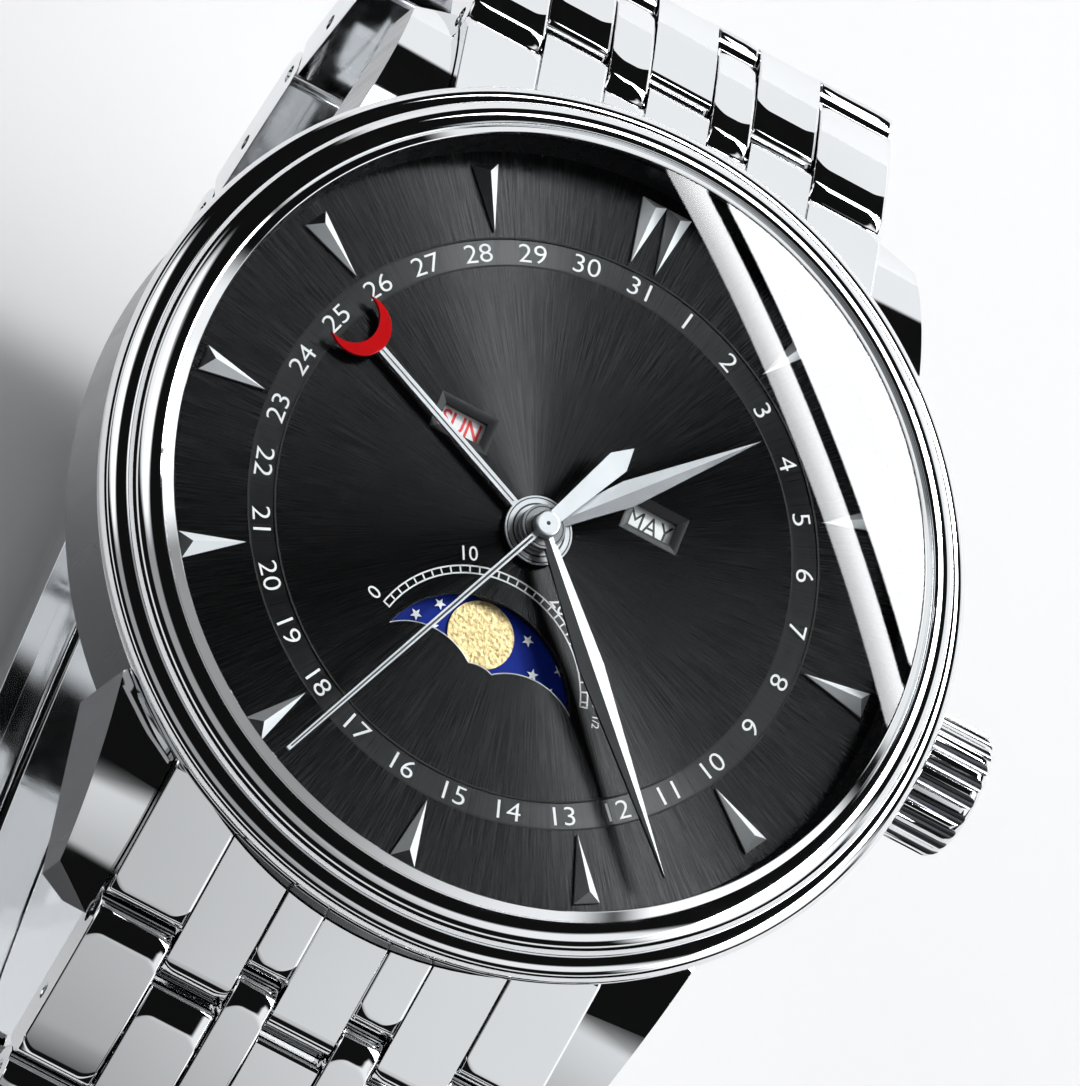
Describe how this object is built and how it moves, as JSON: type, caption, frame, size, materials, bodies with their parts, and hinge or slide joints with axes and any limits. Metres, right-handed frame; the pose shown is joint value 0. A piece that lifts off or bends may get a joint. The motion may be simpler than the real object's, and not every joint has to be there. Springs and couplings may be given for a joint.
{
  "type": "calendar wristwatch",
  "caption": "Round steel wristwatch with domed glass, hour, minute, seconds and date hands, day, month and moon windows, and a hinged multi-row bracelet with a folding clasp",
  "frame": {"origin": "centre of the case back's flat outer face", "axes": "+Z out through the dial, +X towards the crown at 3 o'clock, +Y towards 12 o'clock"},
  "size_m": [0.0456, 0.071, 0.0514],
  "materials": {
    "polished_steel": "mirror polished stainless steel",
    "hand_steel": "polished facets",
    "red_paint": "gloss lacquer",
    "clear_glass": "clear domed crystal",
    "dial_paint": "sunburst anthracite",
    "sky_paint": "deep blue lacquer",
    "disc_paint": "matte white",
    "gasket_rubber": "matte",
    "ring_plastic": "matte",
    "plate_brass": "nickel plated, satin",
    "wheel_brass": "gilt",
    "spring_steel": "satin"
  },
  "bodies": {
    "case": {"case_middle": "polished_steel", "bezel": "polished_steel", "crystal": "clear_glass", "crystal_gasket": "gasket_rubber", "rehaut_ring": "dial_paint", "case_back": "polished_steel", "case_back_gasket": "gasket_rubber", "movement_ring": "ring_plastic", "crown_tube": "polished_steel", "dial": "dial_paint", "hour_markers": "hand_steel", "main_plate": "plate_brass", "calendar_plate": "plate_brass", "train_bridge": "plate_brass", "balance_cock": "plate_brass", "barrel_arbor": "spring_steel", "movement_screws": "spring_steel", "end_link_12": "polished_steel", "end_link_6": "polished_steel", "spring_bars": "spring_steel"},
    "seconds": {"fourth_wheel": "wheel_brass", "seconds_hand": "hand_steel"},
    "minute": {"centre_wheel": "wheel_brass", "minute_hand": "hand_steel"},
    "hour": {"hour_wheel": "wheel_brass", "hour_hand": "hand_steel"},
    "third": {"third_wheel": "wheel_brass"},
    "escape": {"escape_wheel": "spring_steel"},
    "mainspring_barrel": {"barrel": "plate_brass", "mainspring": "spring_steel"},
    "motion": {"minute_wheel": "wheel_brass"},
    "pallet": {"pallet_fork": "spring_steel"},
    "balance": {"balance_wheel": "wheel_brass", "hairspring": "spring_steel"},
    "date": {"date_hand": "red_paint"},
    "moon": {"moon_disc": "sky_paint"},
    "day": {"day_disc": "disc_paint"},
    "month": {"month_disc": "disc_paint"},
    "lever": {"setting_lever": "spring_steel"},
    "crown_stem": {"crown": "polished_steel", "winding_stem": "spring_steel"},
    "winding_rotor": {"rotor": "wheel_brass"},
    "cover": {"clasp_cover": "polished_steel"},
    "middle_blade": {"clasp_middle_blade": "polished_steel"},
    "inner_blade": {"clasp_inner_blade": "polished_steel"},
    "button_left": {"clasp_button_left": "polished_steel"},
    "button_right": {"clasp_button_right": "polished_steel"},
    "bracelet_12_1": {"link_12_1": "polished_steel"},
    "bracelet_12_2": {"link_12_2": "polished_steel"},
    "bracelet_12_3": {"link_12_3": "polished_steel"},
    "bracelet_12_4": {"link_12_4": "polished_steel"},
    "bracelet_12_5": {"link_12_5": "polished_steel"},
    "bracelet_12_6": {"link_12_6": "polished_steel"},
    "bracelet_6_1": {"link_6_1": "polished_steel"},
    "bracelet_6_2": {"link_6_2": "polished_steel"},
    "bracelet_6_3": {"link_6_3": "polished_steel"},
    "bracelet_6_4": {"link_6_4": "polished_steel"},
    "bracelet_6_5": {"link_6_5": "polished_steel"},
    "bracelet_6_6": {"link_6_6": "polished_steel"}
  },
  "joints": [
    {"name": "seconds_turn", "type": "hinge", "parent": "case", "child": "seconds", "pos_m": [0, 0, 0.0076], "axis": [0, 0, -1], "continuous": true},
    {"name": "minute_turn", "type": "hinge", "parent": "case", "child": "minute", "pos_m": [0, 0, 0.0076], "axis": [0, 0, -1], "continuous": true},
    {"name": "hour_turn", "type": "hinge", "parent": "case", "child": "hour", "pos_m": [0, 0, 0.0076], "axis": [0, 0, -1], "continuous": true},
    {"name": "third_turn", "type": "hinge", "parent": "case", "child": "third", "pos_m": [0.00416, -0.0024, 0.004], "axis": [0, 0, -1], "continuous": true},
    {"name": "escape_turn", "type": "hinge", "parent": "case", "child": "escape", "pos_m": [-0.00154, -0.00423, 0.004], "axis": [0, 0, -1], "continuous": true},
    {"name": "barrel_turn", "type": "hinge", "parent": "case", "child": "mainspring_barrel", "pos_m": [-0.00546, 0.00315, 0.004], "axis": [0, 0, -1], "continuous": true},
    {"name": "motion_turn", "type": "hinge", "parent": "case", "child": "motion", "pos_m": [0.00212, 0.00212, 0.006], "axis": [0, 0, -1], "continuous": true},
    {"name": "pallet_rock", "type": "hinge", "parent": "case", "child": "pallet", "pos_m": [-0.0033, -0.00605, 0.004], "axis": [0, 0, 1], "range_deg": [-6, 6]},
    {"name": "balance_swing", "type": "hinge", "parent": "case", "child": "balance", "pos_m": [-0.0048, -0.0076, 0.004], "axis": [0, 0, 1], "range_deg": [-270, 270], "stiffness_Nm_per_rad": 0.000001},
    {"name": "date_turn", "type": "hinge", "parent": "case", "child": "date", "pos_m": [0, 0, 0.0076], "axis": [0, 0, -1], "continuous": true},
    {"name": "moon_turn", "type": "hinge", "parent": "case", "child": "moon", "pos_m": [0, -0.00886, 0.006], "axis": [0, 0, -1], "continuous": true},
    {"name": "day_turn", "type": "hinge", "parent": "case", "child": "day", "pos_m": [-0.0085, 0.0032, 0.006], "axis": [0, 0, -1], "continuous": true},
    {"name": "month_turn", "type": "hinge", "parent": "case", "child": "month", "pos_m": [0.0085, 0.0032, 0.006], "axis": [0, 0, -1], "continuous": true},
    {"name": "crown_pull", "type": "slide", "parent": "case", "child": "lever", "axis": [1, 0, 0], "range_m": [0, 0.0015]},
    {"name": "crown_turn", "type": "hinge", "parent": "lever", "child": "crown_stem", "pos_m": [0.022, 0, 0.0035], "axis": [1, 0, 0], "continuous": true},
    {"name": "rotor_turn", "type": "hinge", "parent": "case", "child": "winding_rotor", "pos_m": [0, 0, 0.002], "axis": [0, 0, -1], "continuous": true},
    {"name": "bracelet_12_unroll", "type": "hinge", "parent": "case", "child": "bracelet_12_1", "pos_m": [0, 0.02405, 0.00155], "axis": [1, 0, 0], "range_deg": [0, 36]},
    {"name": "bracelet_12_hinge_2", "type": "hinge", "parent": "bracelet_12_1", "child": "bracelet_12_2", "pos_m": [0, 0.03085, -0.00339], "axis": [1, 0, 0], "range_deg": [0, 30.5]},
    {"name": "bracelet_12_hinge_3", "type": "hinge", "parent": "bracelet_12_2", "child": "bracelet_12_3", "pos_m": [0, 0.03426, -0.01106], "axis": [1, 0, 0], "range_deg": [0, 26.5]},
    {"name": "bracelet_12_hinge_4", "type": "hinge", "parent": "bracelet_12_3", "child": "bracelet_12_4", "pos_m": [0, 0.03397, -0.01946], "axis": [1, 0, 0], "range_deg": [0, 20.5]},
    {"name": "bracelet_12_hinge_5", "type": "hinge", "parent": "bracelet_12_4", "child": "bracelet_12_5", "pos_m": [0, 0.03082, -0.02724], "axis": [1, 0, 0], "range_deg": [0, 20.5]},
    {"name": "bracelet_12_hinge_6", "type": "hinge", "parent": "bracelet_12_5", "child": "bracelet_12_6", "pos_m": [0, 0.0252, -0.03349], "axis": [1, 0, 0], "range_deg": [0, 22.5]},
    {"name": "bracelet_6_unroll", "type": "hinge", "parent": "case", "child": "bracelet_6_1", "pos_m": [0, -0.02405, 0.00155], "axis": [-1, 0, 0], "range_deg": [0, 36]},
    {"name": "bracelet_6_hinge_2", "type": "hinge", "parent": "bracelet_6_1", "child": "bracelet_6_2", "pos_m": [0, -0.03085, -0.00339], "axis": [-1, 0, 0], "range_deg": [0, 30.5]},
    {"name": "bracelet_6_hinge_3", "type": "hinge", "parent": "bracelet_6_2", "child": "bracelet_6_3", "pos_m": [0, -0.03426, -0.01106], "axis": [-1, 0, 0], "range_deg": [0, 26.5]},
    {"name": "bracelet_6_hinge_4", "type": "hinge", "parent": "bracelet_6_3", "child": "bracelet_6_4", "pos_m": [0, -0.03397, -0.01946], "axis": [-1, 0, 0], "range_deg": [0, 20.5]},
    {"name": "bracelet_6_hinge_5", "type": "hinge", "parent": "bracelet_6_4", "child": "bracelet_6_5", "pos_m": [0, -0.03082, -0.02724], "axis": [-1, 0, 0], "range_deg": [0, 20.5]},
    {"name": "bracelet_6_hinge_6", "type": "hinge", "parent": "bracelet_6_5", "child": "bracelet_6_6", "pos_m": [0, -0.0252, -0.03349], "axis": [-1, 0, 0], "range_deg": [0, 22.5]},
    {"name": "clasp_cover_hinge", "type": "hinge", "parent": "bracelet_12_6", "child": "cover", "pos_m": [0, 0.01765, -0.03717], "axis": [1, 0, 0], "range_deg": [0, 26.5]},
    {"name": "middle_blade_fold", "type": "hinge", "parent": "cover", "child": "middle_blade", "pos_m": [0, -0.0149, -0.03714], "axis": [1, 0, 0], "range_deg": [0, 170.5]},
    {"name": "inner_blade_fold", "type": "hinge", "parent": "middle_blade", "child": "inner_blade", "pos_m": [0, 0.01325, -0.03744], "axis": [-1, 0, 0], "range_deg": [0, 170.5]},
    {"name": "button_left_press", "type": "slide", "parent": "cover", "child": "button_left", "axis": [1, 0, 0], "range_m": [0, 0.0005], "stiffness_N_per_m": 1000},
    {"name": "button_right_press", "type": "slide", "parent": "cover", "child": "button_right", "axis": [-1, 0, 0], "range_m": [0, 0.0005], "stiffness_N_per_m": 1000}
  ],
  "couplings": [
    {"joint": "minute_turn", "follows": "seconds_turn", "ratio": 0.016667},
    {"joint": "hour_turn", "follows": "seconds_turn", "ratio": 0.0013889},
    {"joint": "third_turn", "follows": "seconds_turn", "ratio": -0.125},
    {"joint": "escape_turn", "follows": "seconds_turn", "ratio": -10},
    {"joint": "barrel_turn", "follows": "seconds_turn", "ratio": -0.0026235},
    {"joint": "motion_turn", "follows": "seconds_turn", "ratio": -0.0055556},
    {"joint": "bracelet_12_hinge_2", "follows": "bracelet_12_unroll", "ratio": 0.83333},
    {"joint": "bracelet_12_hinge_3", "follows": "bracelet_12_unroll", "ratio": 0.72222},
    {"joint": "bracelet_12_hinge_4", "follows": "bracelet_12_unroll", "ratio": 0.55556},
    {"joint": "bracelet_12_hinge_5", "follows": "bracelet_12_unroll", "ratio": 0.55556},
    {"joint": "bracelet_12_hinge_6", "follows": "bracelet_12_unroll", "ratio": 0.61111},
    {"joint": "bracelet_6_hinge_2", "follows": "bracelet_6_unroll", "ratio": 0.83333},
    {"joint": "bracelet_6_hinge_3", "follows": "bracelet_6_unroll", "ratio": 0.72222},
    {"joint": "bracelet_6_hinge_4", "follows": "bracelet_6_unroll", "ratio": 0.55556},
    {"joint": "bracelet_6_hinge_5", "follows": "bracelet_6_unroll", "ratio": 0.55556},
    {"joint": "bracelet_6_hinge_6", "follows": "bracelet_6_unroll", "ratio": 0.61111},
    {"joint": "clasp_cover_hinge", "follows": "bracelet_12_unroll", "ratio": 0.72222},
    {"joint": "middle_blade_fold", "follows": "bracelet_12_unroll", "ratio": 4.7222},
    {"joint": "inner_blade_fold", "follows": "bracelet_12_unroll", "ratio": 4.7222}
  ]
}
